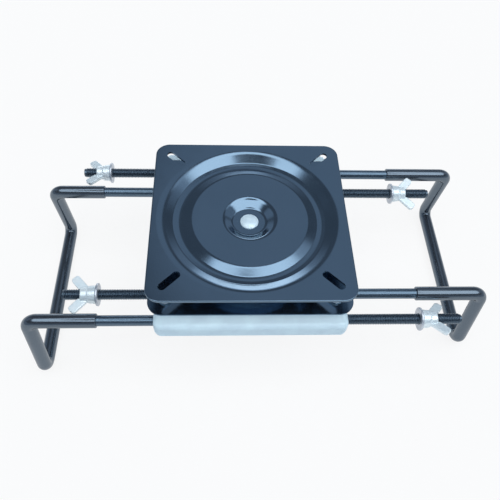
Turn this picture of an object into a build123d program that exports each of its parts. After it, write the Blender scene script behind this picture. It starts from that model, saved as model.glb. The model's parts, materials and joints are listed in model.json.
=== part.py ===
from build123d import *
import os
from math import cos, radians, sin, sqrt

# Clamp-on swivel seat base, in millimetres.
# Two pressed swivel plates turn on a ring of balls. The lower plate is bolted to a pressed cradle, and the
# cradle slides on two hooked bars that wing nuts draw together under the edges of a bench.
# Origin: on the swivel axis, in the plane of the cradle's lower edges, which sit on the bench.
# X runs along the rods, Y from front to rear, Z up.

# Swivel plates
PLATE_SIDE = 178.0
PLATE_CORNER_R = 13.0
PLATE_SHEET = 2.0
PLATE_BEND_R = 1.6
PLATE_EDGE_R = 0.7
FLANGE_LAND = 9.5
FLANGE_LIP_R = 3.6
OUTER_WALL_RUN = 9.9
RACE_ROUND_R = 13.0
RACE_WIDTH = 9.0
RACE_DEPTH = 6.6
INNER_WALL_RUN = 4.5
DISH_LIP_R = 9.0
DISH_DEPTH = 3.0
HUB_LIP_R = 23.6
HUB_EDGE_R = 10.0
HUB_WALL_RUN = 8.2
SLOT_LENGTH = 23.0
SLOT_WIDTH = 7.0
SLOT_INSET = 19.9

# Ball race and pivot
BALL_R = 3.572
BALL_PLAY = 0.05
BALL_COUNT = 18
CAGE_WIDTH = 10.4
CAGE_SHEET = 1.6
CAGE_PLAY = 0.15
PIVOT_R = 4.0
PIVOT_PLAY = 0.06
RIVET_HEAD_R = 8.4
RIVET_HEAD_H = 2.6
RIVET_HEAD_EDGE = 2.0
PIVOT_WASHER_R = 11.0
PIVOT_WASHER_T = 1.4

# Cradle
CRADLE_SHEET = 2.0
CRADLE_BEND_R = 2.5
CRADLE_CORNER_R = 7.0
END_FLANGE_DEPTH = 25.0
SIDE_FLANGE_DEPTH = 14.3
FLANGE_CORNER_R = 6.0
BOLT_EDGE = 10.0
ROD_EDGE = 14.9
ROD_DROP = 14.2

# Plate bolts and nuts
BOLT_INSET = 15.5
BOLT_R = 3.0
BOLT_PLAY = 0.25
BOLT_HEAD_FLATS = 10.0
BOLT_HEAD_H = 4.0
BOLT_END = 1.5
PLATE_NUT_FLATS = 10.0
PLATE_NUT_H = 5.0

# Clamp bars and their sleeves
ROD_R = 4.75
ROD_PLAY = 0.25
ROD_SPACING = 145.3
BAR_OFFSET = 26.1
ROD_LENGTH = 379.5
ROD_END_CHAMFER = 1.0
HOOK_DROP = 74.8
HOOK_SPLAY = 10.4
BAR_BEND_R = 8.5
LEFT_REACH = 109.2
RIGHT_REACH = 130.0
SLEEVE_WALL = 1.55
SLEEVE_PLAY = 0.05
LEFT_FRONT_SLEEVE = 59.5
LEFT_REAR_SLEEVE = 50.2
RIGHT_FRONT_SLEEVE = 62.0
RIGHT_REAR_SLEEVE = 65.5

# Wing nuts and washers on the threaded ends
WASHER_R = 10.3
WASHER_T = 1.8
WASHER_PLAY = 0.3
NUT_PLAY = 0.05
NUT_GAP = 0.1
NUT_COLLAR_R = 8.5
NUT_COLLAR_TAPER = 0.9
NUT_COLLAR_H = 8.0
NUT_BOSS_R = 6.8
NUT_BOSS_H = 14.0
NUT_EDGE = 0.8
WING_SPAN_R = 17.9
WING_WIDTH = 7.8
WING_CORNER_R = 2.4
WING_T = 3.4
WING_ROOT_R = 6.0
WING_ROOT_H = 12.0
WING_FLARE = 42.0
LEFT_FRONT_BACK = 31.8
LEFT_REAR_BACK = 28.5
RIGHT_FRONT_BACK = 37.7
RIGHT_REAR_BACK = 39.6
LEFT_FRONT_TURN = 6.0
LEFT_REAR_TURN = -8.0
RIGHT_FRONT_TURN = -14.0
RIGHT_REAR_TURN = 12.0

# Places that follow from the sizes above
lip_r = PLATE_SIDE / 2 - FLANGE_LAND
race_out_r = lip_r - OUTER_WALL_RUN
race_in_r = race_out_r - RACE_WIDTH
race_r = (race_in_r + race_out_r) / 2
dish_r = race_in_r - INNER_WALL_RUN
half_swivel = RACE_DEPTH + PLATE_SHEET + BALL_R + BALL_PLAY
hub_depth = half_swivel - PLATE_SHEET - PIVOT_WASHER_T / 2 - BALL_PLAY
slot_xy = PLATE_SIDE / 2 - SLOT_INSET
bolt_xy = PLATE_SIDE / 2 - BOLT_INSET
cradle_top = END_FLANGE_DEPTH
cradle_length = 2 * (bolt_xy + BOLT_EDGE)
cradle_width = ROD_SPACING + BAR_OFFSET + 2 * ROD_EDGE
mid_swivel = cradle_top + half_swivel
seat_top = mid_swivel + half_swivel
rod_z = cradle_top - ROD_DROP
outer_rod_y = (ROD_SPACING + BAR_OFFSET) / 2
inner_rod_y = (ROD_SPACING - BAR_OFFSET) / 2
sleeve_r = ROD_R + SLEEVE_PLAY + SLEEVE_WALL
left_hook_x = -cradle_length / 2 - LEFT_REACH
right_hook_x = cradle_length / 2 + RIGHT_REACH
left_rod_end_x = left_hook_x + ROD_LENGTH
right_rod_end_x = right_hook_x - ROD_LENGTH


def swivel_plate(hole_r):
    """One pressing, dished side down, with its flange's outer face at z = 0."""
    section = FilletPolyline(
        (hole_r, -hub_depth),
        (HUB_LIP_R - HUB_WALL_RUN, -hub_depth),
        (HUB_LIP_R, -DISH_DEPTH),
        (dish_r, -DISH_DEPTH),
        (race_in_r, -RACE_DEPTH),
        (race_out_r, -RACE_DEPTH),
        (lip_r, 0),
        (PLATE_SIDE, 0),
        radius=[PLATE_BEND_R, HUB_EDGE_R, DISH_LIP_R, PLATE_BEND_R, RACE_ROUND_R, FLANGE_LIP_R],
    )
    sheet = make_face(offset(section, amount=PLATE_SHEET, side=Side.RIGHT, closed=True).edges())
    dish = revolve(Plane.XZ * sheet, axis=Axis.Z)
    outline = RectangleRounded(PLATE_SIDE, PLATE_SIDE, PLATE_CORNER_R)
    plate = dish & extrude(outline, amount=2 * half_swivel, both=True)
    slot = extrude(SlotOverall(SLOT_LENGTH, SLOT_WIDTH), amount=2 * PLATE_SHEET, both=True)
    for corner in range(4):
        plate -= Rot(0, 0, 45 + 90 * corner) * Pos(slot_xy * sqrt(2), 0, 0) * slot
    border = plate.faces().sort_by(Axis.Z)[-1].outer_wire().edges()
    return fillet(border, PLATE_EDGE_R)


def pivot_rivet():
    """Rivet with a low domed head on each hub floor."""
    seat = half_swivel - hub_depth + BALL_PLAY
    edge = RIVET_HEAD_H - RIVET_HEAD_EDGE
    dome = (RIVET_HEAD_R**2 + edge**2) / (2 * edge)
    cap = Pos(0, 0, seat + RIVET_HEAD_H - dome) * Sphere(dome)
    blank = extrude(Plane.XY.offset(seat) * Circle(RIVET_HEAD_R), amount=RIVET_HEAD_H)
    head = blank & cap
    shank = extrude(Circle(PIVOT_R), amount=seat, both=True)
    return Pos(0, 0, mid_swivel) * (shank + head + mirror(head, about=Plane.XY))


def pivot_washer():
    """Thin washer between the two hubs."""
    ring = Circle(PIVOT_WASHER_R) - Circle(PIVOT_R + PIVOT_PLAY)
    return Pos(0, 0, mid_swivel) * extrude(ring, amount=PIVOT_WASHER_T / 2, both=True)


def ball_places():
    """Centres of the balls round the race."""
    return PolarLocations(race_r, BALL_COUNT)


def race_balls():
    """Loose steel balls between the two pressings."""
    return [Pos(0, 0, mid_swivel) * place * Sphere(BALL_R) for place in ball_places()]


def ball_retainer():
    """Flat cage ring with a hole for each ball."""
    ring = Circle(race_r + CAGE_WIDTH / 2) - Circle(race_r - CAGE_WIDTH / 2)
    for place in ball_places():
        ring -= place * Circle(BALL_R + CAGE_PLAY)
    return Pos(0, 0, mid_swivel) * extrude(ring, amount=CAGE_SHEET / 2, both=True)


def tray_block(inset):
    """Solid block of the cradle's outer form, or of its hollow when inset by the sheet."""
    outline = RectangleRounded(cradle_length - 2 * inset, cradle_width - 2 * inset, CRADLE_CORNER_R - inset)
    block = extrude(outline, amount=cradle_top - inset)
    return fillet(block.edges().group_by(Axis.Z)[-1], CRADLE_BEND_R + CRADLE_SHEET - inset)


def skirt(plane, width, depth):
    """Block that keeps a pair of flanges down to their depth, with rounded lower corners."""
    profile = Pos(0, cradle_top) * RectangleRounded(width, 2 * depth, FLANGE_CORNER_R)
    return extrude(plane * profile, amount=cradle_length + cradle_width, both=True)


def bolt_places():
    """Centres of the four plate bolts."""
    return GridLocations(2 * bolt_xy, 2 * bolt_xy, 2, 2)


def clamp_cradle():
    """Pressed tray: deep end flanges guide the rods, shallow flanges close the front and the rear."""
    tray = tray_block(0) - tray_block(CRADLE_SHEET)
    sides = skirt(Plane.XZ, cradle_length, SIDE_FLANGE_DEPTH)
    ends = skirt(Plane.YZ, cradle_width - 2 * CRADLE_CORNER_R, END_FLANGE_DEPTH)
    cradle = tray & (sides + ends)
    rod_hole = Rot(0, 90, 0) * Cylinder(ROD_R + ROD_PLAY, 2 * cradle_length)
    for y in (-outer_rod_y, -inner_rod_y, inner_rod_y, outer_rod_y):
        cradle -= Pos(0, y, rod_z) * rod_hole
    bolt_hole = Cylinder(BOLT_R + BOLT_PLAY, 4 * CRADLE_SHEET)
    for place in bolt_places():
        cradle -= Pos(0, 0, cradle_top) * place * bolt_hole
    return cradle


def hexagon(flats):
    """Hexagon of the given size across its flats, with two flats facing the cradle's ends."""
    return RegularPolygon(flats / 2, 6, major_radius=False, rotation=30)


def plate_bolts():
    """Hexagon bolts through the lower plate's slots and the cradle."""
    head = extrude(hexagon(BOLT_HEAD_FLATS), amount=BOLT_HEAD_H)
    shank_length = PLATE_SHEET + CRADLE_SHEET + PLATE_NUT_H + BOLT_END
    shank = extrude(Circle(BOLT_R), amount=-shank_length)
    bolt = Pos(0, 0, cradle_top + PLATE_SHEET) * (head + shank)
    return [place * bolt for place in bolt_places()]


def plate_nuts():
    """Hexagon nuts under the cradle's top."""
    section = hexagon(PLATE_NUT_FLATS) - Circle(BOLT_R + PIVOT_PLAY)
    nut = Pos(0, 0, cradle_top - CRADLE_SHEET) * extrude(section, amount=-PLATE_NUT_H)
    return [place * nut for place in bolt_places()]


def hook_path(front_length, rear_length):
    """Bar's centre line with its hook at x = 0: front rod, leg, lower bar, leg, rear rod."""
    return FilletPolyline(
        (front_length, -outer_rod_y, 0),
        (0, -outer_rod_y, 0),
        (0, -outer_rod_y - HOOK_SPLAY, -HOOK_DROP),
        (0, inner_rod_y + HOOK_SPLAY, -HOOK_DROP),
        (0, inner_rod_y, 0),
        (rear_length, inner_rod_y, 0),
        radius=BAR_BEND_R,
    )


def clamp_bar():
    """Round bar bent to a hook, with two straight rods."""
    path = hook_path(ROD_LENGTH, ROD_LENGTH)
    section = Plane(origin=path @ 0, z_dir=path % 0) * Circle(ROD_R)
    bar = sweep(section, path=path)
    rod_ends = bar.edges().filter_by(GeomType.CIRCLE).group_by(Axis.X)[-1]
    return chamfer(rod_ends, ROD_END_CHAMFER)


def bar_sleeve(front_length, rear_length):
    """Vinyl tube drawn over the hook and a little way along both rods."""
    path = hook_path(front_length, rear_length)
    section = Circle(sleeve_r) - Circle(ROD_R + SLEEVE_PLAY)
    return sweep(Plane(origin=path @ 0, z_dir=path % 0) * section, path=path)


def wing_nut():
    """Wing nut along +Z from its bearing face: coned collar, narrower boss, and wings flared away from that face."""
    upright = (Align.CENTER, Align.CENTER, Align.MIN)
    collar = Cone(NUT_COLLAR_R, NUT_COLLAR_R - NUT_COLLAR_TAPER, NUT_COLLAR_H, align=upright)
    collar = chamfer(collar.edges().filter_by(GeomType.CIRCLE), NUT_EDGE)
    boss = Cylinder(NUT_BOSS_R, NUT_BOSS_H, align=upright)
    boss = chamfer(boss.edges().filter_by(GeomType.CIRCLE).sort_by(Axis.Z)[-1], NUT_EDGE)
    lean, climb = cos(radians(WING_FLARE)), sin(radians(WING_FLARE))
    square = WING_WIDTH / 2 - WING_CORNER_R
    tip_r = WING_SPAN_R - WING_CORNER_R - square * (lean + climb)
    length = (tip_r - WING_ROOT_R) / lean
    middle = Pos((tip_r + WING_ROOT_R) / 2, WING_ROOT_H + length * climb / 2)
    outline = middle * Rot(0, 0, WING_FLARE) * RectangleRounded(length + WING_WIDTH, WING_WIDTH, WING_CORNER_R)
    wing = extrude(Plane.XZ * outline, amount=WING_T / 2, both=True)
    nut = collar + boss + wing + mirror(wing, about=Plane.YZ)
    return nut - Cylinder(ROD_R + NUT_PLAY, 4 * NUT_BOSS_H)


def rod_washer():
    """Flat washer along +Z from its inner face."""
    return extrude(Circle(WASHER_R) - Circle(ROD_R + WASHER_PLAY), amount=WASHER_T)


def rod_fittings():
    """Washer and wing nut on each threaded end, by corner."""
    ends = {
        "left_front": (-1, right_rod_end_x, -inner_rod_y, LEFT_FRONT_BACK, LEFT_FRONT_TURN),
        "left_rear": (-1, right_rod_end_x, outer_rod_y, LEFT_REAR_BACK, LEFT_REAR_TURN),
        "right_front": (1, left_rod_end_x, -outer_rod_y, RIGHT_FRONT_BACK, RIGHT_FRONT_TURN),
        "right_rear": (1, left_rod_end_x, inner_rod_y, RIGHT_REAR_BACK, RIGHT_REAR_TURN),
    }
    pieces = {}
    for corner, (outward, end_x, y, back, turn) in ends.items():
        seat = Plane(
            origin=(end_x - outward * back, y, rod_z),
            x_dir=(0, cos(radians(turn)), sin(radians(turn))),
            z_dir=(outward, 0, 0),
        )
        pieces[f"{corner}_washer"] = seat * rod_washer()
        pieces[f"{corner}_wing_nut"] = seat * Pos(0, 0, WASHER_T + NUT_GAP) * wing_nut()
    return pieces


def all_pieces():
    """Every piece by its name, in place."""
    left = Pos(left_hook_x, 0, rod_z)
    right = Pos(right_hook_x, 0, rod_z) * Rot(0, 0, 180)
    return {
        "seat_plate": Pos(0, 0, seat_top) * swivel_plate(PIVOT_R + PIVOT_PLAY),
        "lower_plate": Pos(0, 0, cradle_top) * Rot(180, 0, 0) * swivel_plate(PIVOT_R + PIVOT_PLAY),
        "pivot_rivet": pivot_rivet(),
        "pivot_washer": pivot_washer(),
        "race_balls": race_balls(),
        "ball_retainer": ball_retainer(),
        "clamp_cradle": clamp_cradle(),
        "plate_bolts": plate_bolts(),
        "plate_nuts": plate_nuts(),
        "left_clamp_bar": left * clamp_bar(),
        "right_clamp_bar": right * clamp_bar(),
        "left_bar_sleeve": left * bar_sleeve(LEFT_FRONT_SLEEVE, LEFT_REAR_SLEEVE),
        "right_bar_sleeve": right * bar_sleeve(RIGHT_REAR_SLEEVE, RIGHT_FRONT_SLEEVE),
        **rod_fittings(),
    }


os.makedirs("parts", exist_ok=True)
for name, piece in all_pieces().items():
    solids = piece if isinstance(piece, list) else [piece]
    export_step(Compound(children=[Compound(s.solids()) for s in solids]), f"parts/{name}.step")
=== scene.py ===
import json
from math import cos, floor, pi, radians, sin, sqrt, tan, tau

import bmesh
import bpy
from mathutils import Matrix, Vector

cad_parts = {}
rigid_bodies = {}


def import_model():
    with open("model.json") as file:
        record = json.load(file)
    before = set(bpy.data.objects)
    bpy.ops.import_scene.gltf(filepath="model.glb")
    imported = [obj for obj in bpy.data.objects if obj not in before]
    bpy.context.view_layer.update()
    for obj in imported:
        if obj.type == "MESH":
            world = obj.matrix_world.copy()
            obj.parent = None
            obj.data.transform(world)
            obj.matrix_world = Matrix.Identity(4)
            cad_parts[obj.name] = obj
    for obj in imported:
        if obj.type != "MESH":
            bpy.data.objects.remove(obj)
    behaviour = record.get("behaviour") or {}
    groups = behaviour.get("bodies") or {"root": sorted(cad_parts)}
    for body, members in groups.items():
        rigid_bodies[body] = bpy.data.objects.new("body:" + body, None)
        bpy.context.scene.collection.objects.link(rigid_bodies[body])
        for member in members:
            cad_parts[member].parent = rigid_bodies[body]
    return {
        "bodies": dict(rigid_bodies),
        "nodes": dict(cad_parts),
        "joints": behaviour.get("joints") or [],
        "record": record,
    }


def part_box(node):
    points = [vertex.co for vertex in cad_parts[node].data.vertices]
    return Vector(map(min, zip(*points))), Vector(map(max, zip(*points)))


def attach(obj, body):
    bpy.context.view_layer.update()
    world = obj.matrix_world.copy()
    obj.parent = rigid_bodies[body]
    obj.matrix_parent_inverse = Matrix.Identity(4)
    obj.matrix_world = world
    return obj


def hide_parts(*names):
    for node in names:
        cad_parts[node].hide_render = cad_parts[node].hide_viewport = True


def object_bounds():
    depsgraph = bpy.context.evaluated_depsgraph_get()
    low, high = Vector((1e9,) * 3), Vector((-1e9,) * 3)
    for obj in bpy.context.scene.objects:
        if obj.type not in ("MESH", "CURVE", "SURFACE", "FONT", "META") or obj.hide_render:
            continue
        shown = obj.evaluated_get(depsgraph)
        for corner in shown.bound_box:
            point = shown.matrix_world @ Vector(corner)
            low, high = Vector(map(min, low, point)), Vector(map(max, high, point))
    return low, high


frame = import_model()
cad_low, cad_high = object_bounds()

# Clamp-on swivel seat base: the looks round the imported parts.
# Sizes are in millimetres in the part's own frame, and a piece is turned into metres when it is made.
MM = 0.001

# Photograph's frame and camera
IMAGE_SIDE_PX = 500
FOCAL_PX = 567.87
SENSOR_MM = 36.0
CAMERA_ELEVATION = 55.12
CAMERA_YAW = -5.08
CAMERA_ROLL = 4.2
CAMERA_DISTANCE = 562.81
CAMERA_SLIDE = 2.72
CAMERA_LIFT = 2.81
CAMERA_CLIP = 10.0
TARGET_OVER_FLOOR = 60.0

# Swivel plates
PLATE_SHEET = 2.0
PLATE_CORNER_R = 13.0
PLATE_EDGE_R = 0.7
PLATE_SEGMENTS = 576
PIVOT_HOLE_R = 4.06
HUB_FOOT_R = 15.4
HUB_FOOT_BEND = 6.0
HUB_LIP_R = 24.2
HUB_LIP_BEND = 9.0
DISH_DEPTH = 3.7
DISH_EDGE_R = 53.2
DISH_EDGE_BEND = 8.0
RACE_IN_R = 61.8
RACE_IN_DEPTH = 6.3
RACE_IN_BEND = 3.0
RACE_R = 65.1
RACE_DEPTH = 6.6
RACE_BEND = 8.0
RACE_OUT_R = 69.8
RACE_OUT_DEPTH = 5.5
RACE_OUT_BEND = 4.0
FLANGE_LIP_R = 80.1
FLANGE_LIP_BEND = 16.0
FLANGE_START_R = 86.0
BEND_MARGIN = 0.5
SLOT_LENGTH = 23.0
SLOT_WIDTH = 7.0
SLOT_INSET = 19.9
SLOT_STEPS = 24

# Clamp bars and threads
HOOK_SPLAY = 10.4
BAR_BEND_R = 8.5
BAR_SEGMENTS = 48
BEND_STEP = 5.0
THREAD_LENGTH = 118.0
THREAD_PITCH = 1.5
THREAD_DEPTH = 0.62
THREAD_END_CHAMFER = 1.0
THREAD_TIP_STEP = 0.2
# Shares of the pitch: flank, crest, first turn's start, fading-in and what stays plain
THREAD_FLANK = 0.375
THREAD_CREST = 0.125
THREAD_START = 0.2
THREAD_RUNOUT = 2.0
THREAD_PLAIN = 1.4

# Sleeves
SLEEVE_PLAY = 0.05
SLEEVE_LIP_R = 0.55
SLEEVE_LIP_STEPS = 5

# Wing nuts, washers, rivet and bolts
WELD_REACH = 0.001
CAST_VOXEL = 0.25
CAST_SMOOTHING = 10
CAST_SMOOTH_SHARE = 0.5
WASHER_PLAY = 0.3
WASHER_EDGE_R = 0.35
RIVET_SHANK_R = 4.0
RIVET_HEAD_H = 2.6
RIVET_DOME_H = 1.9
RIVET_RIM_R = 0.35
RIVET_DOME_STEPS = 8
BOLT_R = 3.0
BOLT_HEAD_H = 4.0
BOLT_PITCH = 1.0
BOLT_THREAD_DEPTH = 0.5
NUT_BORE_R = 3.06
HEX_FLATS = 10.0
HEX_CHAMFER_SLOPE = 30.0
HEX_CHAMFER_START = 0.95
HEX_SEGMENTS = 72
ROUND_SEGMENTS = 96
EDGE_STEPS = 4

# Angles in degrees past which an edge is drawn sharp
SHARP_PLAIN = 38.0
SHARP_THREAD = 30.0
SHARP_CAST = 80.0

# Noise in the finishes: levels of detail, and the part of its range that is used
TONE_DETAIL = 4.0
GLOSS_DETAIL = 5.0
BUMP_DETAIL = 2.0
NOISE_SPAN = (0.35, 0.65)

# Floor
FLOOR_SIDE = 8000.0
FLOOR_GAP = 0.2
FLOOR_COLOUR = (0.85, 0.86, 0.87, 1)
FLOOR_GLOW = 0.86

# Sky: colours and strengths, then where each patch lies
# A patch is full within its first angle from its axis and gone past its second, in degrees.
# A squeeze under 1 widens it along that axis.
SKY_COLOUR = (0.93, 0.97, 1.0)
SKY_SHADE_COLOUR = (0.7, 0.83, 1.0)
SKY_DIM = 0.2
SKY_BRIGHT = 2.6
SKY_GLOW = 2.5
SKY_WALL = 0.33
SKY_HAZE = 0.35
ZENITH = (0.0, 0.0, 1.0)
HAZE_EDGES = (65.0, 76.0)
FLANK_AXES = ((0.81, 0.25, 0.53), (-0.81, 0.25, 0.53))
FLANK_EDGES = (12.0, 20.0)
CANOPY_AXIS = (0.105, -0.216, 0.971)
CANOPY_SQUEEZE = (0.6, 1.0, 1.0)
CANOPY_EDGES = (23.0, 31.0)
SIDE_AXIS = (0.5, 0.25, 0.83)
SIDE_EDGES = (4.0, 12.0)
SIDE_SHARE = 0.3
REAR_AXIS = (0.0, 0.998, -0.07)
REAR_SQUEEZE = (0.85, 1.0, 1.0)
REAR_EDGES = (9.0, 22.0)
WALL_AXIS = (0.15, 0.62, 0.77)
WALL_EDGES = (12.0, 20.0)
VIEWER_AXIS = (-0.02, -0.18, 0.983)
VIEWER_SQUEEZE = (0.76, 1.0, 1.0)
VIEWER_EDGES = (7.5, 10.5)

nodes = frame["nodes"]
joints = {joint["name"]: joint for joint in frame["joints"]}
CORNERS = ("left_front", "left_rear", "right_front", "right_rear")


def box_mm(node):
    """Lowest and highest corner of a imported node, in millimetres."""
    low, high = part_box(node)
    return low / MM, high / MM


def rod_axis(corner):
    """Y and Z of the rod at a corner."""
    place = Vector(joints[f"{corner}_nut_spin"]["pos_m"]) / MM
    return place.y, place.z


# Mesh building

class Skin:
    """Points and faces of one piece, in millimetres, with a material number for each face."""

    def __init__(self):
        self.points = []
        self.faces = []
        self.finishes = []

    def ring(self, points):
        start = len(self.points)
        self.points.extend(points)
        return list(range(start, len(self.points)))

    def face(self, corners, finish=0):
        self.faces.append(corners)
        self.finishes.append(finish)

    def bridge(self, a, b, finish=0):
        count = len(a)
        for i in range(count):
            j = (i + 1) % count
            self.face((a[i], a[j], b[j], b[i]), finish)

    def loft(self, rings, finish=0, closed=False):
        for a, b in zip(rings, rings[1:]):
            self.bridge(a, b, finish)
        if closed:
            self.bridge(rings[-1], rings[0], finish)

    def mesh(self, name):
        mesh = bpy.data.meshes.new(name)
        mesh.from_pydata([tuple(point * MM) for point in self.points], [], self.faces)
        mesh.polygons.foreach_set("material_index", self.finishes)
        return mesh


def circle(centre, across, along, radius, count):
    """Points of a circle that starts on the first direction and turns towards the second."""
    turns = [tau * i / count for i in range(count)]
    return [centre + radius * (cos(t) * across + sin(t) * along) for t in turns]


def make_piece(name, mesh, finishes, body, stands_for, sharp=SHARP_PLAIN):
    """Object with the mesh, smooth but for edges over the given angle, riding on its body."""
    work = bmesh.new()
    work.from_mesh(mesh)
    bmesh.ops.recalc_face_normals(work, faces=work.faces)
    work.to_mesh(mesh)
    work.free()
    mesh.shade_smooth()
    mesh.set_sharp_from_angle(angle=radians(sharp))
    thing = bpy.data.objects.new(name, mesh)
    bpy.context.scene.collection.objects.link(thing)
    for finish in finishes:
        mesh.materials.append(finish)
    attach(thing, body)
    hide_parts(*stands_for)


def rounded_corner(radius_out, height, edge, sense, steps=EDGE_STEPS):
    """Quarter round at the rim of a disc, from its flat face to its side, as radius and height pairs."""
    shares = [pi / 2 * i / steps for i in range(steps + 1)]
    return [(radius_out - edge * (1 - sin(s)), height - sense * edge * (1 - cos(s))) for s in shares]


def copy_mesh(node):
    """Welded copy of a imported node's mesh."""
    mesh = nodes[node].data.copy()
    mesh.materials.clear()
    work = bmesh.new()
    work.from_mesh(mesh)
    bmesh.ops.remove_doubles(work, verts=work.verts, dist=WELD_REACH * MM)
    work.to_mesh(mesh)
    work.free()
    return mesh


def apply_modifiers(mesh, *modifiers):
    """Mesh with modifiers applied, each given as a type and its settings."""
    holder = bpy.data.objects.new("holder", mesh)
    bpy.context.scene.collection.objects.link(holder)
    for kind, settings in modifiers:
        modifier = holder.modifiers.new(kind.title(), kind)
        for key, value in settings.items():
            setattr(modifier, key, value)
    graph = bpy.context.evaluated_depsgraph_get()
    done = bpy.data.meshes.new_from_object(holder.evaluated_get(graph))
    bpy.data.objects.remove(holder)
    return done


# Rods: a path with round bends, and rings along it

def rounded_path(corners, radii):
    """Stations along straight runs joined by arcs, each a point and the direction of travel."""
    stations = [(corners[0], (corners[1] - corners[0]).normalized())]
    for before, corner, after, radius in zip(corners, corners[1:], corners[2:], radii):
        came = (corner - before).normalized()
        goes = (after - corner).normalized()
        turn = came.angle(goes)
        axis = came.cross(goes).normalized()
        start = corner - came * radius * tan(turn / 2)
        centre = start + axis.cross(came) * radius
        steps = max(2, round(turn / radians(BEND_STEP)))
        for i in range(steps + 1):
            spin = Matrix.Rotation(turn * i / steps, 3, axis)
            stations.append((centre + spin @ (start - centre), spin @ came))
    stations.append((corners[-1], (corners[-1] - corners[-2]).normalized()))
    return stations


def carried_frames(stations):
    """Each station with two directions across it that turn with the path and don't twist."""
    across = stations[0][1].orthogonal().normalized()
    heading = stations[0][1]
    frames = []
    for point, direction in stations:
        across = heading.rotation_difference(direction) @ across
        across = (across - direction * across.dot(direction)).normalized()
        heading = direction
        frames.append((point, direction, across, direction.cross(across)))
    return frames


def thread(skin, inner, origin, direction, across, length, radius, pitch, depth, finish=0):
    """Right-hand thread from the ring of points at its inner end to a chamfered, closed rod end."""
    count = len(inner)
    along = direction.cross(across)
    steps = (0.0, THREAD_FLANK, THREAD_FLANK + THREAD_CREST, 1.0 - THREAD_CREST)
    crest = (False, True, True, False)
    first = THREAD_START * pitch
    turns = floor((length - THREAD_PLAIN * pitch) / pitch)
    rows = len(steps) * turns
    root = radius - depth
    tip_r = root - THREAD_TIP_STEP

    def vertex(row, turn_share):
        height = first + (row // len(steps) + steps[row % len(steps)] + turn_share) * pitch
        cut = radius if crest[row % len(steps)] else root
        runout = min(1.0, height / (THREAD_RUNOUT * pitch))
        cut = radius + (cut - radius) * runout
        cut = min(cut, tip_r + (length - height) * (radius - tip_r) / THREAD_END_CHAMFER)
        angle = tau * turn_share
        return origin + direction * height + cut * (cos(angle) * across + sin(angle) * along)

    seam = skin.ring([vertex(row, 0.0) for row in range(rows + len(steps) + 1)])
    columns = [seam[: rows + 1]]
    for i in range(1, count):
        columns.append(skin.ring([vertex(row, i / count) for row in range(rows + 1)]))
    columns.append(seam[len(steps):])
    for left, right in zip(columns, columns[1:]):
        for row in range(rows):
            skin.face((left[row], right[row], right[row + 1], left[row + 1]), finish)
    tip = skin.ring(circle(origin + direction * length, across, along, tip_r, count))
    for i in range(count):
        j = (i + 1) % count
        low = (inner[i], inner[j], columns[i + 1][0], columns[i][0])
        if i == count - 1:
            low = (inner[i], inner[j], *seam[: len(steps) + 1], columns[i][0])
        skin.face(low, finish)
        high = (columns[i][rows], columns[i + 1][rows], tip[j], tip[i])
        if i == 0:
            high = (columns[0][rows], columns[1][rows], tip[1], tip[0], *reversed(seam[rows + 1:]))
        skin.face(high, finish)
    skin.face(tuple(tip), finish)


def hook_corners(side, front_length, rear_length):
    """Corners of the left or right bar's centre line: front rod, leg, lower bar, leg, rear rod."""
    low, high = box_mm(f"{side}_clamp_bar")
    inward = 1 if side == "left" else -1
    far_corners = ("right_front", "right_rear") if side == "left" else ("left_front", "left_rear")
    front_y, rod_z = rod_axis(far_corners[0])
    rear_y = rod_axis(far_corners[1])[0]
    radius = high.z - rod_z
    hook_x = low.x + radius if side == "left" else high.x - radius
    lower_z = low.z + radius
    return [
        Vector((hook_x + inward * front_length, front_y, rod_z)),
        Vector((hook_x, front_y, rod_z)),
        Vector((hook_x, front_y - HOOK_SPLAY, lower_z)),
        Vector((hook_x, rear_y + HOOK_SPLAY, lower_z)),
        Vector((hook_x, rear_y, rod_z)),
        Vector((hook_x + inward * rear_length, rear_y, rod_z)),
    ]


def rod_radius():
    """Radius of the bars."""
    return box_mm("left_clamp_bar")[1].z - rod_axis("right_front")[1]


def clamp_bar(side, finishes):
    """Bent bar whose two rods end in a cut thread with the second finish."""
    low, high = box_mm(f"{side}_clamp_bar")
    radius = rod_radius()
    plain = high.x - low.x - radius - THREAD_LENGTH
    frames = carried_frames(rounded_path(hook_corners(side, plain, plain), [BAR_BEND_R] * 4))
    skin = Skin()
    rings = [skin.ring(circle(p, across, along, radius, BAR_SEGMENTS)) for p, _, across, along in frames]
    skin.loft(rings)
    cut = (THREAD_LENGTH, radius, THREAD_PITCH, THREAD_DEPTH)
    point, direction, across, _ = frames[-1]
    thread(skin, rings[-1], point, direction, across, *cut, finish=1)
    point, direction, across, _ = frames[0]
    backward = [rings[0][-i % BAR_SEGMENTS] for i in range(BAR_SEGMENTS)]
    thread(skin, backward, point, -direction, across, *cut, finish=1)
    name = f"{side}_threaded_bar"
    stands_for = [f"{side}_clamp_bar"]
    make_piece(name, skin.mesh(name), finishes, f"{side}_bar", stands_for, SHARP_THREAD)


def sleeve_reach(side):
    """How far a sleeve runs along the front and the rear rod from the hook's line."""
    points = [v.co / MM for v in nodes[f"{side}_bar_sleeve"].data.vertices]
    corners = hook_corners(side, 0, 0)
    hook_x, rod_z = corners[0].x, corners[0].z
    near = 2 * (box_mm(f"{side}_bar_sleeve")[1].z - rod_z)
    lengths = []
    for y in (corners[0].y, corners[-1].y):
        on_rod = [p for p in points if abs(p.y - y) < near and abs(p.z - rod_z) < near]
        lengths.append(max(abs(p.x - hook_x) for p in on_rod))
    return lengths


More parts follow.
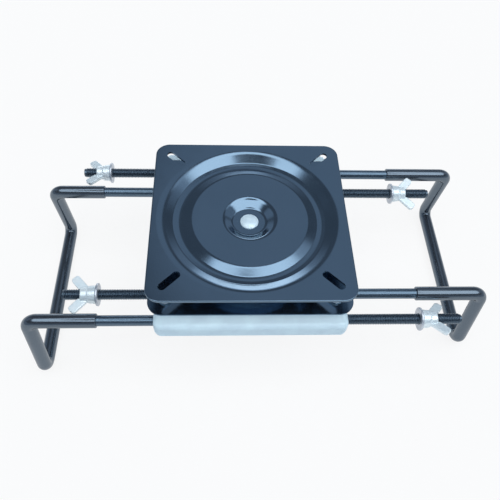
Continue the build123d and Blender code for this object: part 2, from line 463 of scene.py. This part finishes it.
def bar_sleeve(side, finish):
    """Vinyl tube over the hook with rolled lips at both ends."""
    corners = hook_corners(side, *sleeve_reach(side))
    outer = box_mm(f"{side}_bar_sleeve")[1].z - corners[0].z
    inner = rod_radius() + SLEEVE_PLAY
    frames = carried_frames(rounded_path(corners, [BAR_BEND_R] * 4))
    skin = Skin()

    def ring(frame, radius, shift=0.0):
        point, direction, across, along = frame
        return skin.ring(circle(point + direction * shift, across, along, radius, BAR_SEGMENTS))

    def lip(frame, sense):
        profile = rounded_corner(outer, 0.0, SLEEVE_LIP_R, -sense, SLEEVE_LIP_STEPS)
        return [ring(frame, radius, shift) for radius, shift in profile]

    start, end = lip(frames[0], 1), lip(frames[-1], -1)
    outside = [ring(frame, outer) for frame in frames[1:-1]]
    inside = [ring(frame, inner) for frame in reversed(frames)]
    skin.loft([*start, *outside, *reversed(end), *inside], closed=True)
    name = f"{side}_vinyl_sleeve"
    make_piece(name, skin.mesh(name), [finish], f"{side}_bar", [f"{side}_bar_sleeve"])


# Swivel plates: one pressing, used twice

def pressing_profile(hub_depth):
    """Stations of the outer face from the pivot hole to the flange, with a short run beside each bend."""
    bends = [
        (HUB_FOOT_R, hub_depth, HUB_FOOT_BEND),
        (HUB_LIP_R, DISH_DEPTH, HUB_LIP_BEND),
        (DISH_EDGE_R, DISH_DEPTH, DISH_EDGE_BEND),
        (RACE_IN_R, RACE_IN_DEPTH, RACE_IN_BEND),
        (RACE_R, RACE_DEPTH, RACE_BEND),
        (RACE_OUT_R, RACE_OUT_DEPTH, RACE_OUT_BEND),
        (FLANGE_LIP_R, 0, FLANGE_LIP_BEND),
    ]
    middle = [(radius, depth) for radius, depth, _ in bends]
    places = [(PIVOT_HOLE_R, hub_depth), *middle, (FLANGE_START_R, 0)]
    corners = [Vector((radius, 0, -depth)) for radius, depth in places]
    stations = rounded_path(corners, [bend for _, _, bend in bends])
    profile = [stations[0]]
    for (a, _), (b, heading) in zip(stations, stations[1:]):
        run = b - a
        if run.length > 3 * BEND_MARGIN:
            straight = run.normalized()
            profile += [(a + straight * BEND_MARGIN, straight), (b - straight * BEND_MARGIN, straight)]
        profile.append((b, heading))
    return profile


def square_reach(angle, side, inset):
    """Distance from the middle of a rounded square to its outline, set in from the edge, at an angle."""
    half = side / 2 - inset
    radius = PLATE_CORNER_R - inset
    straight = half - radius
    wide, narrow = sorted((abs(cos(angle)), abs(sin(angle))), reverse=True)
    if half * narrow / wide <= straight:
        return half / wide
    middle = (wide + narrow) * straight
    return middle + sqrt(middle**2 - 2 * straight**2 + radius**2)


def slot_cutter(side, level):
    """Four slot-shaped posts along the diagonals, through the sheet at a level."""
    skin = Skin()
    radius = SLOT_WIDTH / 2
    straight = SLOT_LENGTH / 2 - radius
    reach = (side / 2 - SLOT_INSET) * sqrt(2)
    for corner in range(4):
        spin = Matrix.Rotation(pi / 4 + corner * pi / 2, 3, "Z")
        outline = []
        for end in (0, 1):
            for i in range(SLOT_STEPS + 1):
                angle = pi * (end - 0.5 + i / SLOT_STEPS)
                along = reach + (straight if end == 0 else -straight)
                outline.append(Vector((along + radius * cos(angle), radius * sin(angle), 0)))
        ends = [
            skin.ring([spin @ point + Vector((0, 0, level + z)) for point in outline])
            for z in (-2 * PLATE_SHEET, 2 * PLATE_SHEET)
        ]
        skin.loft(ends)
        skin.face(tuple(reversed(ends[0])))
        skin.face(tuple(ends[1]))
    cutter = bpy.data.objects.new("slots", skin.mesh("slots"))
    bpy.context.scene.collection.objects.link(cutter)
    return cutter


def swivel_plate(node, name, body, face, finish):
    """Pressed plate with its flange's outer face up or down and a slot in each corner."""
    low, high = box_mm(node)
    side = high.x - low.x
    level = high.z if face > 0 else low.z
    profile = pressing_profile(high.z - low.z - PLATE_SHEET)
    turns = [tau * (i + 0.5) / PLATE_SEGMENTS for i in range(PLATE_SEGMENTS)]
    skin = Skin()

    def ring(reaches, height):
        z = level + face * height
        return skin.ring([Vector((reach * cos(t), reach * sin(t), z)) for reach, t in zip(reaches, turns)])

    def round_ring(radius, height):
        return ring([radius] * PLATE_SEGMENTS, height)

    def square_ring(inset, height):
        return ring([square_reach(t, side, inset) for t in turns], height)

    outer = [round_ring(point.x, point.z) for point, _ in profile]
    under = [round_ring(p.x + ahead.z * PLATE_SHEET, p.z - ahead.x * PLATE_SHEET) for p, ahead in profile]
    land = square_ring(PLATE_EDGE_R + BEND_MARGIN, 0)
    rim = [square_ring(-gone, fall) for gone, fall in rounded_corner(0, 0, PLATE_EDGE_R, 1)]
    skin.loft([*outer, land, *rim, square_ring(0, -PLATE_SHEET), *reversed(under)], closed=True)
    cutter = slot_cutter(side, level)
    cut = ("BOOLEAN", {"operation": "DIFFERENCE", "solver": "EXACT", "object": cutter})
    mesh = apply_modifiers(skin.mesh(name), cut)
    bpy.data.objects.remove(cutter)
    make_piece(name, mesh, [finish], body, [node])


# Small round parts

def lathe(skin, place, profile, closed=False):
    """Turned surface from radius and height pairs; each open end is closed by a flat face."""
    x_dir, y_dir, z_dir = (place.to_3x3() @ Vector(axis) for axis in ((1, 0, 0), (0, 1, 0), (0, 0, 1)))
    rings = []
    for radius, height in profile:
        centre = place.translation + z_dir * height
        rings.append(skin.ring(circle(centre, x_dir, y_dir, radius, ROUND_SEGMENTS)))
    skin.loft(rings, closed=closed)
    if not closed:
        skin.face(tuple(rings[0]))
        skin.face(tuple(rings[-1]))


def rod_washer(corner, finish):
    """Stamped washer with rolled edges."""
    low, high = box_mm(f"{corner}_washer")
    outer = (high.y - low.y) / 2
    bore = rod_radius() + WASHER_PLAY
    middle = (low + high) / 2
    half = (high.x - low.x) / 2
    place = Matrix.Translation(middle) @ Matrix.Rotation(pi / 2, 4, "Y")
    top = rounded_corner(outer, half, WASHER_EDGE_R, 1)
    bottom = rounded_corner(outer, -half, WASHER_EDGE_R, -1)
    skin = Skin()
    lathe(skin, place, [(bore, half), *top, *reversed(bottom), (bore, -half)], closed=True)
    name = f"{corner}_flat_washer"
    make_piece(name, skin.mesh(name), [finish], f"{corner}_washer_body", [f"{corner}_washer"])


def wing_nut(corner, finish):
    """Cast wing nut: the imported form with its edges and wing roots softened."""
    voxels = ("REMESH", {"mode": "VOXEL", "voxel_size": CAST_VOXEL * MM})
    soften = ("SMOOTH", {"factor": CAST_SMOOTH_SHARE, "iterations": CAST_SMOOTHING})
    node = f"{corner}_wing_nut"
    mesh = apply_modifiers(copy_mesh(node), voxels, soften)
    name = f"{corner}_cast_wing_nut"
    make_piece(name, mesh, [finish], f"{corner}_nut_body", [node], SHARP_CAST)


def pivot_rivet(finish):
    """Rivet with a domed head and a rolled rim at each end."""
    low, high = box_mm("pivot_rivet")
    rim = (high.x - low.x) / 2
    top = (high.z - low.z) / 2
    seat = top - RIVET_HEAD_H
    dome_r = (rim**2 + RIVET_DOME_H**2) / (2 * RIVET_DOME_H)
    reaches = [rim * step / RIVET_DOME_STEPS for step in range(1, RIVET_DOME_STEPS)]
    dome = [(r, top - dome_r + sqrt(dome_r**2 - r**2)) for r in reaches]
    edge = top - RIVET_DOME_H - RIVET_RIM_R / 2
    half = [*dome, (rim - RIVET_RIM_R, edge + RIVET_RIM_R), (rim - RIVET_RIM_R / 4, edge + RIVET_RIM_R / 4)]
    half += [(rim, edge - RIVET_RIM_R / 2), (rim, seat), (RIVET_SHANK_R, seat)]
    skin = Skin()
    lathe(skin, Matrix.Translation((low + high) / 2), half + [(r, -h) for r, h in reversed(half)])
    make_piece("domed_rivet", skin.mesh("domed_rivet"), [finish], "base", ["pivot_rivet"])


def hex_ring(skin, place, height, sense):
    """Ring round a hexagon with flats across X, cut by a turned chamfer that falls in the given sense."""
    points = []
    for i in range(HEX_SEGMENTS):
        angle = tau * i / HEX_SEGMENTS
        radius = HEX_FLATS / 2 / cos((angle + pi / 6) % (pi / 3) - pi / 6)
        fall = max(0.0, radius - HEX_CHAMFER_START * HEX_FLATS / 2) * tan(radians(HEX_CHAMFER_SLOPE))
        points.append(place + Vector((radius * cos(angle), radius * sin(angle), height - sense * fall)))
    return skin.ring(points)


def level_ring(skin, place, radius, height):
    """Circle with as many points as a hexagon's ring."""
    across, along = Vector((1, 0, 0)), Vector((0, 1, 0))
    return skin.ring(circle(place + Vector((0, 0, height)), across, along, radius, HEX_SEGMENTS))


def bolt_places():
    """Axes of the four plate bolts."""
    high = box_mm("plate_bolts")[1]
    reach = high.x - HEX_FLATS / 2
    return [Vector((x, y, 0)) for x in (-reach, reach) for y in (-reach, reach)]


def plate_bolts(finish):
    """Hexagon bolts with a chamfered head and a cut thread."""
    low, high = box_mm("plate_bolts")
    under = high.z - BOLT_HEAD_H
    flat = HEX_CHAMFER_START * HEX_FLATS / 2
    skin = Skin()
    for place in bolt_places():
        neck = level_ring(skin, place, BOLT_R, under)
        face = level_ring(skin, place, flat, under)
        lower = hex_ring(skin, place, under, -1)
        upper = hex_ring(skin, place, high.z, 1)
        top = level_ring(skin, place, flat, high.z)
        skin.loft([neck, face, lower, upper, top])
        skin.face(tuple(top))
        turned = [neck[-i % HEX_SEGMENTS] for i in range(HEX_SEGMENTS)]
        start, down, across = place + Vector((0, 0, under)), Vector((0, 0, -1)), Vector((1, 0, 0))
        thread(skin, turned, start, down, across, under - low.z, BOLT_R, BOLT_PITCH, BOLT_THREAD_DEPTH)
    mesh = skin.mesh("hex_bolts")
    make_piece("hex_bolts", mesh, [finish], "base", ["plate_bolts"], SHARP_THREAD)


def plate_nuts(finish):
    """Hexagon nuts chamfered on both faces."""
    low, high = box_mm("plate_nuts")
    flat = HEX_CHAMFER_START * HEX_FLATS / 2
    skin = Skin()
    for place in bolt_places():
        upper = [level_ring(skin, place, r, high.z) for r in (NUT_BORE_R, flat)]
        lower = [level_ring(skin, place, r, low.z) for r in (flat, NUT_BORE_R)]
        sides = [hex_ring(skin, place, high.z, 1), hex_ring(skin, place, low.z, -1)]
        skin.loft([*upper, *sides, *lower], closed=True)
    mesh = skin.mesh("hex_nuts")
    make_piece("hex_nuts", mesh, [finish], "base", ["plate_nuts"], SHARP_THREAD)


# Materials

def object_noise(tree, scale, detail):
    """Noise in the object's own metres."""
    place = tree.nodes.new("ShaderNodeTexCoord")
    noise = tree.nodes.new("ShaderNodeTexNoise")
    noise.inputs["Scale"].default_value = scale
    noise.inputs["Detail"].default_value = detail
    tree.links.new(place.outputs["Object"], noise.inputs["Vector"])
    return noise.outputs["Fac"]


def spread(tree, factor, low, high, span=NOISE_SPAN, curve="LINEAR"):
    """Number that runs from low to high as the factor crosses a span."""
    node = tree.nodes.new("ShaderNodeMapRange")
    node.interpolation_type = curve
    node.inputs["From Min"].default_value = span[0]
    node.inputs["From Max"].default_value = span[1]
    node.inputs["To Min"].default_value = low
    node.inputs["To Max"].default_value = high
    tree.links.new(factor, node.inputs["Value"])
    return node.outputs["Result"]


def blend_colours(tree, factor, first, second):
    """Colour between two others."""
    node = tree.nodes.new("ShaderNodeMix")
    node.data_type = "RGBA"
    node.inputs["A"].default_value = (*first, 1)
    node.inputs["B"].default_value = (*second, 1)
    tree.links.new(factor, node.inputs["Factor"])
    return node.outputs["Result"]


def add_bump(tree, shader, *layers):
    """Bump from layers of height, each with its depth in millimetres."""
    normal = None
    for height, depth in layers:
        bump = tree.nodes.new("ShaderNodeBump")
        bump.inputs["Strength"].default_value = 1.0
        bump.inputs["Distance"].default_value = depth * MM
        tree.links.new(height, bump.inputs["Height"])
        if normal:
            tree.links.new(normal, bump.inputs["Normal"])
        normal = bump.outputs["Normal"]
    tree.links.new(normal, shader.inputs["Normal"])


def finish_of(name, dark, pale, patch, rough, rough_patch, bumps, **fixed):
    """Material whose colour and roughness wander between two ends, with bumps and fixed shader values.

    Patches are noise scales per metre, and a bump is such a scale with a depth in millimetres.
    """
    material = bpy.data.materials.new(name)
    material.use_nodes = True
    tree = material.node_tree
    shader = tree.nodes["Principled BSDF"]
    tone = spread(tree, object_noise(tree, patch, TONE_DETAIL), 0.0, 1.0)
    tree.links.new(blend_colours(tree, tone, dark, pale), shader.inputs["Base Color"])
    gloss = spread(tree, object_noise(tree, rough_patch, GLOSS_DETAIL), *rough)
    tree.links.new(gloss, shader.inputs["Roughness"])
    add_bump(tree, shader, *[(object_noise(tree, scale, BUMP_DETAIL), depth) for scale, depth in bumps])
    for key, value in fixed.items():
        shader.inputs[key.replace("_", " ")].default_value = value
    return material


def make_finishes():
    """Every finish on the object, by name."""
    # Specular tint for the black finishes: painted sky-blue colour in their reflections
    painted_sky_tint = (0.5, 0.74, 1.0, 1.0)
    plated = {"patch": 160, "rough": (0.28, 0.42), "rough_patch": 260}
    return {
        "enamel": finish_of(
            "gloss_enamel", dark=(0.006, 0.009, 0.014), pale=(0.01, 0.014, 0.021), patch=25,
            rough=(0.1, 0.17), rough_patch=60, bumps=[(420, 0.012), (1500, 0.002)],
            IOR=3.1, Specular_Tint=painted_sky_tint,
        ),
        "bar": finish_of(
            "satin_bar", dark=(0.012, 0.016, 0.021), pale=(0.02, 0.025, 0.032), patch=90,
            rough=(0.2, 0.28), rough_patch=140, bumps=[(400, 0.005)],
            IOR=2.5, Specular_Tint=painted_sky_tint,
        ),
        "thread": finish_of(
            "oiled_thread", dark=(0.012, 0.014, 0.017), pale=(0.022, 0.025, 0.03), patch=260,
            rough=(0.24, 0.36), rough_patch=320, bumps=[(2200, 0.004)],
            IOR=2.3, Specular_Tint=painted_sky_tint,
        ),
        "vinyl": finish_of(
            "gloss_vinyl", dark=(0.012, 0.012, 0.013), pale=(0.018, 0.017, 0.018), patch=45,
            rough=(0.15, 0.23), rough_patch=70, bumps=[(75, 0.06), (900, 0.003)],
            # painted sky-blue colour in the vinyl's reflections
            IOR=2.4, Specular_Tint=(0.62, 0.8, 1.0, 1.0),
        ),
        # Zinc finishes (sheet, bright, rivet, washer): pale zinc with the skylight's blue painted into the
        # colour
        "zinc_sheet": finish_of(
            "zinc_sheet", dark=(0.64, 0.8, 0.89), pale=(0.7, 0.88, 0.96), patch=70,
            rough=(0.5, 0.62), rough_patch=110, bumps=[(700, 0.004)],
            Metallic=0.05,
        ),
        "zinc_bright": finish_of(
            "bright_zinc", dark=(0.76, 0.87, 0.92), pale=(0.86, 0.94, 0.97), **plated,
            bumps=[(500, 0.008), (1800, 0.0015)], Metallic=0.4,
        ),
        "zinc_rivet": finish_of(
            "rivet_zinc", dark=(0.7, 0.86, 0.96), pale=(0.78, 0.93, 1.0), **plated,
            bumps=[(500, 0.008), (1800, 0.0015)], Metallic=0.15,
        ),
        "zinc_washer": finish_of(
            "washer_zinc", dark=(0.5, 0.54, 0.6), pale=(0.6, 0.64, 0.7), **plated,
            bumps=[(500, 0.006), (1800, 0.0015)], Metallic=0.6,
        ),
        "steel": finish_of(
            "ball_steel", dark=(0.52, 0.54, 0.56), pale=(0.6, 0.62, 0.64), patch=300,
            rough=(0.08, 0.16), rough_patch=500, bumps=[(1800, 0.002)],
            Metallic=1.0,
        ),
        "nylon": finish_of(
            "cage_nylon", dark=(0.6, 0.585, 0.53), pale=(0.7, 0.69, 0.64), patch=120,
            rough=(0.42, 0.55), rough_patch=200, bumps=[(900, 0.012)],
        ),
    }


# Stage, light and camera

def combine(tree, operation, first, second):
    """One number from two others."""
    node = tree.nodes.new("ShaderNodeMath")
    node.operation = operation
    tree.links.new(first, node.inputs[0])
    tree.links.new(second, node.inputs[1])
    return node.outputs[0]


def seen_directly(tree):
    """One for camera, glossy and transmission rays, and zero for the rest."""
    path = tree.nodes.new("ShaderNodeLightPath")
    total = path.outputs["Is Camera Ray"]
    for name in ("Is Glossy Ray", "Is Transmission Ray"):
        total = combine(tree, "MAXIMUM", total, path.outputs[name])
    return total


def pale_floor():
    """White floor under the object that keeps a soft shadow."""
    half = FLOOR_SIDE / 2
    height = cad_low.z / MM - FLOOR_GAP
    sheet = Skin()
    corners = ((-half, -half), (half, -half), (half, half), (-half, half))
    sheet.face(tuple(sheet.ring([Vector((x, y, height)) for x, y in corners])))
    mesh = sheet.mesh("floor")
    floor_piece = bpy.data.objects.new("floor", mesh)
    bpy.context.scene.collection.objects.link(floor_piece)
    material = bpy.data.materials.new("floor_paper")
    material.use_nodes = True
    tree = material.node_tree
    tree.nodes.clear()
    paper = tree.nodes.new("ShaderNodeBsdfDiffuse")
    paper.inputs["Color"].default_value = FLOOR_COLOUR
    glow = tree.nodes.new("ShaderNodeEmission")
    mix = tree.nodes.new("ShaderNodeMixShader")
    share = tree.nodes.new("ShaderNodeMath")
    share.operation = "MULTIPLY"
    share.inputs[1].default_value = FLOOR_GLOW
    out = tree.nodes.new("ShaderNodeOutputMaterial")
    tree.links.new(seen_directly(tree), share.inputs[0])
    tree.links.new(share.outputs[0], mix.inputs[0])
    tree.links.new(paper.outputs[0], mix.inputs[1])
    tree.links.new(glow.outputs[0], mix.inputs[2])
    tree.links.new(mix.outputs[0], out.inputs["Surface"])
    mesh.materials.append(material)


def sky_patch(tree, axis, edges, squeeze=(1.0, 1.0, 1.0)):
    """One within the inner angle round a direction, and zero beyond the outer one."""
    place = tree.nodes.new("ShaderNodeTexCoord")
    scaled = tree.nodes.new("ShaderNodeVectorMath")
    scaled.operation = "MULTIPLY"
    scaled.inputs[1].default_value = squeeze
    unit = tree.nodes.new("ShaderNodeVectorMath")
    unit.operation = "NORMALIZE"
    facing = tree.nodes.new("ShaderNodeVectorMath")
    facing.operation = "DOT_PRODUCT"
    facing.inputs[1].default_value = Vector(axis).normalized()
    tree.links.new(place.outputs["Generated"], scaled.inputs[0])
    tree.links.new(scaled.outputs["Vector"], unit.inputs[0])
    tree.links.new(unit.outputs["Vector"], facing.inputs[0])
    inner, outer = (cos(radians(edge)) for edge in edges)
    return spread(tree, facing.outputs["Value"], 0.0, 1.0, (outer, inner), "SMOOTHSTEP")


def scaled_sum(tree, start, *terms):
    """Number plus shares times their strengths."""
    total = None
    for share, strength in terms:
        node = tree.nodes.new("ShaderNodeMath")
        node.operation = "MULTIPLY_ADD"
        tree.links.new(share, node.inputs[0])
        node.inputs[1].default_value = strength
        if total:
            tree.links.new(total, node.inputs[2])
        else:
            node.inputs[2].default_value = start
        total = node.outputs[0]
    return total


def studio_world():
    """Canopy overhead, a glow low at the rear, a wall over it, haze at the sides; white to the camera."""
    world = bpy.data.worlds.new("studio")
    bpy.context.scene.world = world
    world.use_nodes = True
    tree = world.node_tree
    tree.nodes.clear()
    viewer = sky_patch(tree, VIEWER_AXIS, VIEWER_EDGES, VIEWER_SQUEEZE)
    overhead = sky_patch(tree, CANOPY_AXIS, CANOPY_EDGES, CANOPY_SQUEEZE)
    canopy = combine(tree, "MULTIPLY", overhead, scaled_sum(tree, 1.0, (viewer, -1.0)))
    beside = scaled_sum(tree, 0.0, (sky_patch(tree, SIDE_AXIS, SIDE_EDGES), SIDE_SHARE))
    canopy = combine(tree, "MAXIMUM", canopy, beside)
    glow = sky_patch(tree, REAR_AXIS, REAR_EDGES, REAR_SQUEEZE)
    wall = sky_patch(tree, WALL_AXIS, WALL_EDGES)
    haze = scaled_sum(tree, 1.0, (sky_patch(tree, ZENITH, HAZE_EDGES), -1.0))
    for axis in FLANK_AXES:
        haze = combine(tree, "MAXIMUM", haze, sky_patch(tree, axis, FLANK_EDGES))
    lit = scaled_sum(
        tree, SKY_DIM, (haze, SKY_HAZE), (canopy, SKY_BRIGHT), (glow, SKY_GLOW), (wall, SKY_WALL)
    )
    sky = tree.nodes.new("ShaderNodeBackground")
    share = combine(tree, "MAXIMUM", canopy, glow)
    tree.links.new(blend_colours(tree, share, SKY_SHADE_COLOUR, SKY_COLOUR), sky.inputs["Color"])
    tree.links.new(lit, sky.inputs["Strength"])
    white = tree.nodes.new("ShaderNodeBackground")
    white.inputs["Color"].default_value = (1, 1, 1, 1)
    path = tree.nodes.new("ShaderNodeLightPath")
    mix = tree.nodes.new("ShaderNodeMixShader")
    out = tree.nodes.new("ShaderNodeOutputWorld")
    tree.links.new(path.outputs["Is Camera Ray"], mix.inputs[0])
    tree.links.new(sky.outputs[0], mix.inputs[1])
    tree.links.new(white.outputs[0], mix.inputs[2])
    tree.links.new(mix.outputs[0], out.inputs["Surface"])


def photo_camera():
    """Camera where the photograph was taken from."""
    elevation, yaw, roll = radians(CAMERA_ELEVATION), radians(CAMERA_YAW), radians(CAMERA_ROLL)
    back = Vector((sin(yaw) * cos(elevation), -cos(yaw) * cos(elevation), sin(elevation)))
    right = Vector((cos(yaw), sin(yaw), 0))
    up = back.cross(right)
    across = cos(roll) * right + sin(roll) * up
    upward = -sin(roll) * right + cos(roll) * up
    target = Vector((0, 0, cad_low.z / MM + TARGET_OVER_FLOOR))
    place = target + back * CAMERA_DISTANCE + across * CAMERA_SLIDE + upward * CAMERA_LIFT
    data = bpy.data.cameras.new("photo_camera")
    data.sensor_width = SENSOR_MM
    data.lens = FOCAL_PX / IMAGE_SIDE_PX * SENSOR_MM
    data.clip_start = CAMERA_CLIP * MM
    camera = bpy.data.objects.new("photo_camera", data)
    bpy.context.scene.collection.objects.link(camera)
    turn = Matrix((across, upward, back)).transposed().to_4x4()
    camera.matrix_world = Matrix.Translation(place * MM) @ turn
    bpy.context.scene.camera = camera


def build():
    """Every piece, then the stage."""
    finishes = make_finishes()
    for side in ("left", "right"):
        clamp_bar(side, [finishes["bar"], finishes["thread"]])
        bar_sleeve(side, finishes["vinyl"])
    for corner in CORNERS:
        rod_washer(corner, finishes["zinc_washer"])
        wing_nut(corner, finishes["zinc_bright"])
    swivel_plate("seat_plate", "pressed_seat_plate", "seat", 1, finishes["enamel"])
    swivel_plate("lower_plate", "pressed_lower_plate", "base", -1, finishes["enamel"])
    pivot_rivet(finishes["zinc_rivet"])
    plate_bolts(finishes["zinc_bright"])
    plate_nuts(finishes["zinc_bright"])
    kept = {
        "clamp_cradle": "zinc_sheet",
        "pivot_washer": "nylon",
        "race_balls": "steel",
        "ball_retainer": "nylon",
    }
    for node, finish in kept.items():
        nodes[node].material_slots[0].material = finishes[finish]
    pale_floor()
    studio_world()
    photo_camera()


build()
bpy.context.scene.view_settings.view_transform = "Standard"
